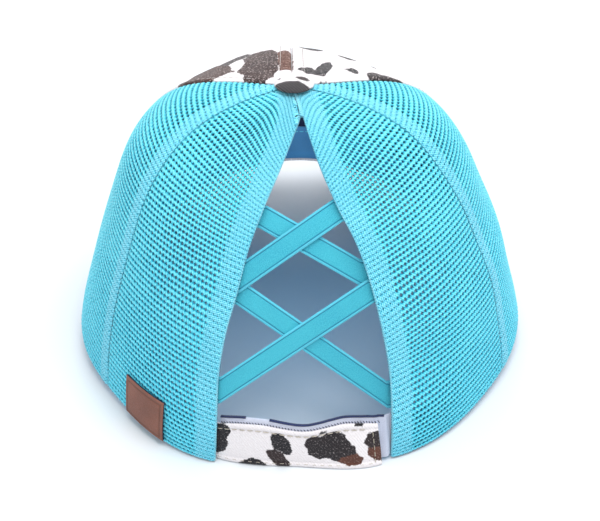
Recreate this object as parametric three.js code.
import * as THREE from "three";

// A six-panel baseball cap with a ponytail opening. Millimetres, +Z up, the peak towards -Y, the opening
// towards +Y. The wearer's left is +X. The cap rests on its back rim and on the two sides of its peak.

// Crown, measured on its outer face: its height, and the reach of its rim from the button's axis.
const CROWN_HEIGHT = 126.3;
const RIM_FRONT = 95.6;
const RIM_SIDE = 91.2;
const RIM_BACK = 89.4;

// How far the rim stands above the floor: a long rise from back to front, and an arch over the peak.
const RIM_RISE = 13;
const RIM_ARCH = 12;
const RIM_ARCH_SPREAD = 35;

// Shape of the walls as superellipse exponents: 2 is round, more is boxier.
const WALL_FRONT = 1.77;
const WALL_SIDE = 2.68;
const WALL_BACK = 1.91;
const DOME_FRONT = 2.27;
const DOME_SIDE = 1.91;
const DOME_BACK = 1.99;

// Clearance between neighbouring pieces, and between the layers of cloth that lie on each other.
const GAP = 0.3;
const LAYER_GAP = 0.5;

// Cloth thicknesses.
const CANVAS_THICKNESS = 1.4;
const NET_THICKNESS = 1;
const HEM_THICKNESS = 1;
const ELASTIC_THICKNESS = 1;
const SWEATBAND_THICKNESS = 1.2;
const TAB_THICKNESS = 1.6;
const LOOP_THICKNESS = 1;
const LABEL_THICKNESS = 1.4;
const PEAK_THICKNESS = 3;

// The ponytail opening: its width at the rim, its hems, and how deep straps are tucked behind them.
const OPENING_WIDTH = 72;
const HEM_WIDTH = 9;
const TUCK_DEPTH = 8;

const ELASTIC_WIDTH = 9.8;
const SWEATBAND_HEIGHT = 22;

// Closure: the tab's and the loop strap's heights above the floor, and the free ends they leave bare.
const TAB_HEIGHT = 18.9;
const LOOP_BOTTOM = 1.6;
const LOOP_TOP = 21.9;
const TAB_END_CLEARANCE = 4.6;
const LOOP_END_CLEARANCE = 4;
const CLOSURE_BOW = 2;

const LABEL_WIDTH = 24;
const LABEL_HEIGHT = 19;
const LABEL_RAISE = 1.2;
const LABEL_AZIMUTH = 135.5;

const BUTTON_DIAMETER = 16;
const BUTTON_HEIGHT = 3.6;
const SHANK_DIAMETER = 5;
const SHANK_LENGTH = 4;
const RING_RADIUS = 4;

// Peak: how far its tip stands out from the rim, its slope down to the front, and the angle that it spans.
const PEAK_LENGTH = 70;
const PEAK_SLOPE = 0.13;
const PEAK_HALF_ANGLE = 62;
const PEAK_TUCK = 4.2;
const PEAK_ROUNDNESS = 2.4;
const PEAK_FLARE = 2;
const PEAK_SETTLE = 25;
const PEAK_ROWS = 8;

// Bulges and dents of the soft crown. The azimuth is in degrees from the front, positive to the wearer's
// left; up runs from 0 at the rim to 1 at the button; push is a share of the local radius.
const BULGES = [
  { azimuth: 95, up: 0, turn: 28, rise: 0.14, push: 0.054 },
  { azimuth: -95, up: 0, turn: 28, rise: 0.14, push: 0.059 },
  { azimuth: 100, up: 0.3, turn: 35, rise: 0.18, push: -0.03 },
  { azimuth: -100, up: 0.3, turn: 35, rise: 0.18, push: -0.039 },
  { azimuth: 95, up: 0.66, turn: 32, rise: 0.18, push: 0.073 },
  { azimuth: -95, up: 0.66, turn: 32, rise: 0.18, push: 0.039 },
  { azimuth: 5, up: 0.62, turn: 28, rise: 0.22, push: 0.027 },
  { azimuth: 45, up: 0.62, turn: 25, rise: 0.22, push: -0.006 },
  { azimuth: -45, up: 0.62, turn: 25, rise: 0.22, push: -0.016 },
  { azimuth: 150, up: 0, turn: 22, rise: 0.15, push: 0.048 },
  { azimuth: -150, up: 0, turn: 22, rise: 0.15, push: 0.026 },
];
const BULGE_LIFT = 0.8;

// Seams between the panels, in degrees from the front at each height.
const SEAMS = [
  { up: 0, frontLeft: 62, frontRight: -62, backLeft: 117, backRight: -114 },
  { up: 0.2, frontLeft: 63, frontRight: -63, backLeft: 117, backRight: -112 },
  { up: 0.4, frontLeft: 65, frontRight: -65, backLeft: 117, backRight: -112 },
  { up: 0.6, frontLeft: 68.5, frontRight: -68.5, backLeft: 116.5, backRight: -114 },
  { up: 0.8, frontLeft: 73, frontRight: -75, backLeft: 115, backRight: -112 },
  { up: 1, frontLeft: 77, frontRight: -84, backLeft: 112, backRight: -108 },
];

// Edges of the opening: how far each stands from the middle plane, as a share of half the opening's width.
const OPENING = [
  { up: 0, left: 1, right: 1.02 },
  { up: 0.1, left: 0.96, right: 1.03 },
  { up: 0.2, left: 0.92, right: 1.01 },
  { up: 0.3, left: 0.82, right: 0.93 },
  { up: 0.4, left: 0.67, right: 0.82 },
  { up: 0.5, left: 0.53, right: 0.67 },
  { up: 0.6, left: 0.35, right: 0.46 },
  { up: 0.7, left: 0.16, right: 0.29 },
  { up: 0.8, left: 0, right: 0.17 },
  { up: 0.88, left: -0.085, right: 0.1 },
  { up: 1, left: 0.01, right: 0.01 },
];

// Elastics: where the middle of each end meets the opening's edge, and its layer behind the hem.
const ELASTICS = [
  { name: "elastic_upper_front", left: 0.439, right: 0.593, layer: 0 },
  { name: "elastic_upper_behind", left: 0.586, right: 0.426, layer: 1 },
  { name: "elastic_lower_front", left: 0.167, right: 0.389, layer: 0 },
  { name: "elastic_lower_behind", left: 0.398, right: 0.14, layer: 1 },
];

// Colours, roughness and metalness of the cloths.
const CANVAS = { color: 0xefe9e4, roughness: 0.85, metalness: 0 };
const NET = { color: 0x32bfe6, roughness: 0.7, metalness: 0 };
const ELASTIC = { color: 0x2fb6e4, roughness: 0.6, metalness: 0 };
const BAND = { color: 0x3a74a8, roughness: 0.8, metalness: 0 };
const LOOP = { color: 0xcfd6ea, roughness: 0.9, metalness: 0 };
const LEATHER = { color: 0x8a5f4d, roughness: 0.55, metalness: 0 };

const cap = new THREE.Group();

function addPiece(name, geometry, finish) {
  const mesh = new THREE.Mesh(geometry, new THREE.MeshStandardMaterial(finish));
  mesh.name = name;
  cap.add(mesh);
}

// A value that is one number at the front, another at the sides and a third at the back.
function around(theta, front, side, back) {
  const forward = (1 + Math.cos(theta)) / 2;
  const across = Math.sin(theta) ** 2;
  return side * across + (front * forward + back * (1 - forward)) * (1 - across);
}

function turnBetween(theta, azimuth) {
  const turn = THREE.MathUtils.radToDeg(theta) - azimuth;
  return THREE.MathUtils.euclideanModulo(turn + 180, 360) - 180;
}

function rimLift(theta) {
  const arch = Math.exp(-((turnBetween(theta, 0) / RIM_ARCH_SPREAD) ** 2));
  return RIM_RISE * (1 + Math.cos(theta)) / 2 + RIM_ARCH * arch;
}

function bulge(theta, up) {
  let push = 0;
  for (const row of BULGES) {
    const sideways = turnBetween(theta, row.azimuth) / row.turn;
    const upwards = (up - row.up) / row.rise;
    push += row.push * Math.exp(-(sideways ** 2) - upwards ** 2);
  }
  return push;
}

function crownRadius(theta, up) {
  const reach = around(theta, RIM_FRONT, RIM_SIDE, RIM_BACK);
  const wall = around(theta, WALL_FRONT, WALL_SIDE, WALL_BACK);
  const level = Math.max(Math.cos(up * Math.PI / 2), 0);
  return reach * level ** (2 / wall) * (1 + bulge(theta, up));
}

function crownPoint(theta, up) {
  const radius = crownRadius(theta, up);
  const dome = around(theta, DOME_FRONT, DOME_SIDE, DOME_BACK);
  const rise = Math.sin(up * Math.PI / 2);
  const rim = rimLift(theta);
  const z = rim + (CROWN_HEIGHT - rim) * rise ** (2 / dome)
    + CROWN_HEIGHT * BULGE_LIFT * bulge(theta, up) * rise ** 2;
  return new THREE.Vector3(radius * Math.sin(theta), -radius * Math.cos(theta), z);
}

// Outward direction of the crown's face, from two short steps across it.
function crownNormal(theta, up) {
  const step = 1e-3;
  const below = Math.max(up - step, 0);
  const sideways = crownPoint(theta + step, up).sub(crownPoint(theta - step, up));
  const upwards = crownPoint(theta, below + 2 * step).sub(crownPoint(theta, below));
  return sideways.cross(upwards).normalize();
}

function layerPoint(theta, up, depth) {
  return crownPoint(theta, up).addScaledVector(crownNormal(theta, up), -depth);
}

// Smooth value of a table's column at a height, by a Catmull-Rom curve through its rows.
function tableAt(table, column, up) {
  const last = table.length - 1;
  let row = 0;
  while (row < last - 1 && up > table[row + 1].up) row += 1;
  const slope = (index) => {
    const before = table[Math.max(index - 1, 0)];
    const after = table[Math.min(index + 1, last)];
    return (after[column] - before[column]) / (after.up - before.up);
  };
  const span = table[row + 1].up - table[row].up;
  const share = (up - table[row].up) / span;
  const square = share * share;
  const cube = square * share;
  return table[row][column] * (2 * cube - 3 * square + 1) + table[row + 1][column] * (3 * square - 2 * cube)
    + slope(row) * span * (cube - 2 * square + share) + slope(row + 1) * span * (cube - square);
}

function seamAngle(column, up) {
  return THREE.MathUtils.degToRad(tableAt(SEAMS, column, up));
}

// Azimuth of the opening's edge. side is +1 for the wearer's left and -1 for the right.
function openingAngle(side, up) {
  const across = tableAt(OPENING, side > 0 ? "left" : "right", up) * OPENING_WIDTH / 2;
  let angle = Math.PI;
  for (let pass = 0; pass < 4; pass += 1) {
    angle = Math.PI - Math.asin(across / crownRadius(side * angle, up));
  }
  return side * angle;
}

// Height, from 0 to 1, at which a line of longitude has come in to a given radius under the button.
function upAtRadius(theta, radius) {
  let low = 0.5;
  let high = 1;
  for (let pass = 0; pass < 30; pass += 1) {
    const middle = (low + high) / 2;
    if (crownRadius(theta, middle) > radius) low = middle;
    else high = middle;
  }
  return low;
}

// A closed sheet of cloth: an outer and an inner face of columns by rows quads, joined round their border.
// pointAt(across, along, face) gives a corner, with face 0 outside and 1 inside.
function closedSheet(columns, rows, pointAt) {
  const positions = [];
  for (const face of [0, 1]) {
    for (let row = 0; row <= rows; row += 1) {
      for (let column = 0; column <= columns; column += 1) {
        positions.push(...pointAt(column / columns, row / rows, face).toArray());
      }
    }
  }
  const at = (column, row, face) => face * (columns + 1) * (rows + 1) + row * (columns + 1) + column;
  const triangles = [];
  const quad = (a, b, c, d) => triangles.push(a, b, c, a, c, d);
  for (let row = 0; row < rows; row += 1) {
    for (let column = 0; column < columns; column += 1) {
      quad(at(column, row, 0), at(column + 1, row, 0), at(column + 1, row + 1, 0), at(column, row + 1, 0));
      quad(at(column, row, 1), at(column, row + 1, 1), at(column + 1, row + 1, 1), at(column + 1, row, 1));
    }
  }
  for (let column = 0; column < columns; column += 1) {
    quad(at(column, 0, 0), at(column, 0, 1), at(column + 1, 0, 1), at(column + 1, 0, 0));
    quad(at(column + 1, rows, 0), at(column + 1, rows, 1), at(column, rows, 1), at(column, rows, 0));
  }
  for (let row = 0; row < rows; row += 1) {
    quad(at(0, row + 1, 0), at(0, row + 1, 1), at(0, row, 1), at(0, row, 0));
    quad(at(columns, row, 0), at(columns, row, 1), at(columns, row + 1, 1), at(columns, row + 1, 0));
  }
  const geometry = new THREE.BufferGeometry();
  geometry.setAttribute("position", new THREE.Float32BufferAttribute(positions, 3));
  geometry.setIndex(enclosedVolume(positions, triangles) < 0 ? triangles.reverse() : triangles);
  return geometry;
}

function enclosedVolume(positions, triangles) {
  const corner = (index) => new THREE.Vector3().fromArray(positions, 3 * index);
  let volume = 0;
  for (let i = 0; i < triangles.length; i += 3) {
    const [a, b, c] = [corner(triangles[i]), corner(triangles[i + 1]), corner(triangles[i + 2])];
    volume += a.dot(b.cross(c)) / 6;
  }
  return volume;
}

// A panel of the crown between two edges, which are functions of height giving an azimuth. It stops at the
// small ring under the button and half a gap short of each seam.
function panelGeometry(fromEdge, toEdge, thickness, columns, rows) {
  return closedSheet(columns, rows, (across, along, face) => {
    let up = along;
    let theta = 0;
    for (let pass = 0; pass < 3; pass += 1) {
      const from = fromEdge(up);
      const to = toEdge(up);
      const middle = (from + to) / 2;
      const inset = Math.sign(to - from) * GAP / 2 / Math.max(crownRadius(middle, up), RING_RADIUS);
      theta = THREE.MathUtils.lerp(from + inset, to - inset, across);
      up = along * upAtRadius(theta, RING_RADIUS);
    }
    return layerPoint(theta, up, face * thickness);
  });
}

function addPanels() {
  for (const [hand, side] of [["left", 1], ["right", -1]]) {
    const suffix = side > 0 ? "Left" : "Right";
    const frontSeam = (up) => seamAngle("front" + suffix, up);
    const backSeam = (up) => seamAngle("back" + suffix, up);
    addPiece("front_panel_" + hand, panelGeometry(() => 0, frontSeam, CANVAS_THICKNESS, 9, 14), CANVAS);
    addPiece("side_panel_" + hand, panelGeometry(frontSeam, backSeam, NET_THICKNESS, 8, 16), NET);
    addPiece("back_panel_" + hand,
      panelGeometry(backSeam, (up) => openingAngle(side, up), NET_THICKNESS, 8, 18), NET);
  }
}

// Azimuth of a line that keeps a given distance from the opening's edge, measured along the cloth.
function besideOpening(side, up, distance) {
  const edge = openingAngle(side, up);
  return edge - side * distance / Math.max(crownRadius(edge, up), BUTTON_DIAMETER / 2);
}

const HEM_DEPTH = NET_THICKNESS + LAYER_GAP;
const TUCKED_DEPTH = HEM_DEPTH + HEM_THICKNESS + LAYER_GAP;
const HEM_TOP = 0.93;

// The hems: the net is folded back along each edge of the opening, so a second layer lies behind the first.
function addHems() {
  for (const [hand, side] of [["left", 1], ["right", -1]]) {
    addPiece("opening_hem_" + hand, closedSheet(3, 18, (across, along, face) => {
      const up = along * HEM_TOP;
      const theta = besideOpening(side, up, GAP / 2 + across * HEM_WIDTH);
      return layerPoint(theta, up, HEM_DEPTH + face * HEM_THICKNESS);
    }), NET);
  }
}

// How far an elastic spreads along the opening's edge on each side of its middle, as a share of height.
function spreadAlongEdge(side, up, direction) {
  const step = 0.01;
  const edge = crownPoint(openingAngle(side, up + step), up + step)
    .sub(crownPoint(openingAngle(side, up - step), up - step));
  const slant = direction.clone().cross(edge.clone().normalize()).length();
  return ELASTIC_WIDTH / 2 / slant / (edge.length() / (2 * step));
}

// One border of an elastic: tucked behind the left hem, straight across the opening, tucked behind the right.
function elasticBorder(leftUp, rightUp, depth, along) {
  const tuck = 0.1;
  if (along < tuck) {
    const distance = TUCK_DEPTH * (1 - along / tuck);
    return layerPoint(besideOpening(1, leftUp, distance), leftUp, depth);
  }
  if (along > 1 - tuck) {
    const distance = TUCK_DEPTH * (1 - (1 - along) / tuck);
    return layerPoint(besideOpening(-1, rightUp, distance), rightUp, depth);
  }
  const left = layerPoint(openingAngle(1, leftUp), leftUp, depth);
  const right = layerPoint(openingAngle(-1, rightUp), rightUp, depth);
  return left.lerp(right, (along - tuck) / (1 - 2 * tuck));
}

function elasticGeometry({ left, right, layer }) {
  const depth = TUCKED_DEPTH + layer * (ELASTIC_THICKNESS + LAYER_GAP);
  const direction = crownPoint(openingAngle(-1, right), right)
    .sub(crownPoint(openingAngle(1, left), left)).normalize();
  const leftSpread = spreadAlongEdge(1, left, direction);
  const rightSpread = spreadAlongEdge(-1, right, direction);
  return closedSheet(3, 20, (across, along, face) => {
    const shift = 2 * across - 1;
    return elasticBorder(left + shift * leftSpread, right + shift * rightSpread,
      depth + face * ELASTIC_THICKNESS, along);
  });
}

function addElastics() {
  for (const row of ELASTICS) {
    addPiece(row.name, elasticGeometry(row), ELASTIC);
  }
}

// Height on the crown's face, as up, that stands a given distance above the rim there.
function upAtHeight(theta, height) {
  let low = 0;
  let high = 0.6;
  for (let pass = 0; pass < 30; pass += 1) {
    const middle = (low + high) / 2;
    if (crownPoint(theta, middle).z - rimLift(theta) < height) low = middle;
    else high = middle;
  }
  return low;
}

// The sweatband runs inside the rim from one hem round the front to the other.
function addSweatband() {
  const depth = CANVAS_THICKNESS + LAYER_GAP;
  addPiece("sweatband", closedSheet(56, 3, (across, along, face) => {
    const height = GAP + along * (SWEATBAND_HEIGHT - GAP);
    const azimuth = (up) => THREE.MathUtils.lerp(
      besideOpening(1, up, HEM_WIDTH + LAYER_GAP), besideOpening(-1, up, HEM_WIDTH + LAYER_GAP), across);
    const up = upAtHeight(azimuth(0), height);
    return layerPoint(azimuth(up), up, depth + face * SWEATBAND_THICKNESS);
  }), BAND);
}

// A point of the closure, which bows out between the hems. share runs from the left edge to the right one.
function closurePoint(share, height, depth) {
  const theta = THREE.MathUtils.lerp(openingAngle(1, 0), openingAngle(-1, 0) + 2 * Math.PI, share);
  const bow = CLOSURE_BOW * Math.sin(Math.PI * THREE.MathUtils.clamp(share, 0, 1)) ** 0.7;
  const up = upAtHeight(theta, height);
  const point = layerPoint(theta, up, TUCKED_DEPTH + depth - bow);
  point.z = height;
  return point;
}

function closureSheet(fromShare, toShare, bottom, top, depthAt, thickness) {
  return closedSheet(30, 3, (across, along, face) => {
    const share = THREE.MathUtils.lerp(fromShare, toShare, across);
    return closurePoint(share, THREE.MathUtils.lerp(bottom, top, along), depthAt(share) + face * thickness);
  });
}

function addClosure() {
  const tuck = TUCK_DEPTH / OPENING_WIDTH;
  const tabEnd = 1 - TAB_END_CLEARANCE / OPENING_WIDTH;
  addPiece("closure_tab", closureSheet(-tuck, tabEnd, 0, TAB_HEIGHT, () => 0, TAB_THICKNESS), CANVAS);
  const under = TAB_THICKNESS + GAP;
  const step = (share) => under * (1 - THREE.MathUtils.smoothstep(share, tabEnd + tuck / 8, 1));
  addPiece("closure_loop_strap",
    closureSheet(LOOP_END_CLEARANCE / OPENING_WIDTH, 1 + tuck, LOOP_BOTTOM, LOOP_TOP, step, LOOP_THICKNESS), LOOP);
}

// The label is sewn flat on the outside of the net, its lower edge just above the rim.
function addLabel() {
  const middle = THREE.MathUtils.degToRad(LABEL_AZIMUTH);
  const halfTurn = LABEL_WIDTH / 2 / crownRadius(middle, 0);
  addPiece("side_label", closedSheet(6, 4, (across, along, face) => {
    const theta = middle + (2 * across - 1) * halfTurn;
    const up = upAtHeight(theta, LABEL_RAISE + along * LABEL_HEIGHT);
    return layerPoint(theta, up, -GAP - (1 - face) * LABEL_THICKNESS);
  }), LEATHER);
}

// The button: a shallow cloth-covered dome, and the shank that passes through the ring of the panels.
function addButton() {
  const radius = BUTTON_DIAMETER / 2;
  const shank = SHANK_DIAMETER / 2;
  const profile = [new THREE.Vector2(0, -SHANK_LENGTH), new THREE.Vector2(shank, -SHANK_LENGTH)];
  profile.push(new THREE.Vector2(shank, 0), new THREE.Vector2(radius * 0.94, 0));
  const steps = 6;
  for (let step = 0; step < steps; step += 1) {
    const turn = step / steps * Math.PI / 2;
    const height = BUTTON_HEIGHT * (0.25 + 0.75 * Math.sin(turn));
    profile.push(new THREE.Vector2(radius * Math.cos(turn), height));
  }
  profile.push(new THREE.Vector2(0, BUTTON_HEIGHT));
  const geometry = new THREE.LatheGeometry(profile, 28);
  geometry.rotateX(Math.PI / 2);
  geometry.translate(0, 0, CROWN_HEIGHT + GAP);
  addPiece("button", geometry, CANVAS);
}

// Height of the peak's arch over a place in plan, for a given drop of its sides.
function peakArch(x, y, drop) {
  const halfWidth = crownPoint(THREE.MathUtils.degToRad(PEAK_HALF_ANGLE), 0).x;
  return rimLift(0) - LAYER_GAP + PEAK_SLOPE * (y + RIM_FRONT) - drop * (x / halfWidth) ** 2;
}

// Height of the peak's upper face: level with the rim's lower edge under the crown, and out in front of it
// changing over to the arch.
function peakTop(plan, drop) {
  const theta = Math.atan2(plan.x, -plan.y);
  const rim = crownPoint(theta, 0);
  const outside = plan.length() - crownRadius(theta, 0);
  const underRim = rim.z - LAYER_GAP;
  if (outside < 0) return underRim;
  const settle = underRim - peakArch(rim.x, rim.y, drop);
  return peakArch(plan.x, plan.y, drop) + settle * (1 - THREE.MathUtils.smoothstep(outside, 0, PEAK_SETTLE));
}

// A point of the peak: across runs from one corner to the other, along from the inner margin to the outer
// edge. The first row is the margin under the crown's rim.
function peakPoint(across, along, face, drop) {
  const theta = THREE.MathUtils.degToRad((2 * across - 1) * PEAK_HALF_ANGLE);
  const rim = crownPoint(theta, 0);
  const inner = new THREE.Vector2(rim.x, rim.y).setLength(crownRadius(theta, 0) - PEAK_TUCK);
  const corner = crownPoint(THREE.MathUtils.degToRad(PEAK_HALF_ANGLE), 0);
  const turn = (2 * across - 1) * Math.PI / 2;
  const power = 2 / PEAK_ROUNDNESS;
  const depth = crownRadius(0, 0) + PEAK_LENGTH + corner.y;
  const outer = new THREE.Vector2(
    Math.sign(turn) * (corner.x + PEAK_FLARE) * Math.abs(Math.sin(turn)) ** power,
    corner.y - depth * Math.max(Math.cos(turn), 0) ** power);
  const margin = Math.min((PEAK_TUCK + 1) / inner.distanceTo(outer), 0.5);
  const step = along * PEAK_ROWS;
  const out = step < 1 ? margin * step : margin + (1 - margin) * (step - 1) / (PEAK_ROWS - 1);
  const plan = inner.clone().lerp(outer, out);
  const steepness = -2 * drop * plan.x / corner.x ** 2;
  const normal = new THREE.Vector3(-steepness, -PEAK_SLOPE, 1).normalize();
  return new THREE.Vector3(plan.x, plan.y, peakTop(plan, drop)).addScaledVector(normal, -face * PEAK_THICKNESS);
}

// The drop at which the sides of the peak just reach the floor.
function restingDrop() {
  const steps = 60;
  let low = 0;
  let high = CROWN_HEIGHT / 2;
  for (let pass = 0; pass < 40; pass += 1) {
    const middle = (low + high) / 2;
    let lowest = Infinity;
    for (let step = 0; step <= steps; step += 1) {
      lowest = Math.min(lowest, peakPoint(step / steps, 1, 1, middle).z);
    }
    if (lowest > 0) low = middle;
    else high = middle;
  }
  return low;
}

function addPeak() {
  const drop = restingDrop();
  const geometry = closedSheet(30, PEAK_ROWS, (across, along, face) => peakPoint(across, along, face, drop));
  addPiece("peak", geometry, CANVAS);
}

addPanels();
addHems();
addElastics();
addSweatband();
addClosure();
addLabel();
addButton();
addPeak();

// The origin is on the floor, under the middle of the cap's box.
const box = new THREE.Box3().setFromObject(cap);
cap.position.set(-(box.min.x + box.max.x) / 2, -(box.min.y + box.max.y) / 2, -box.min.z);

export default cap;
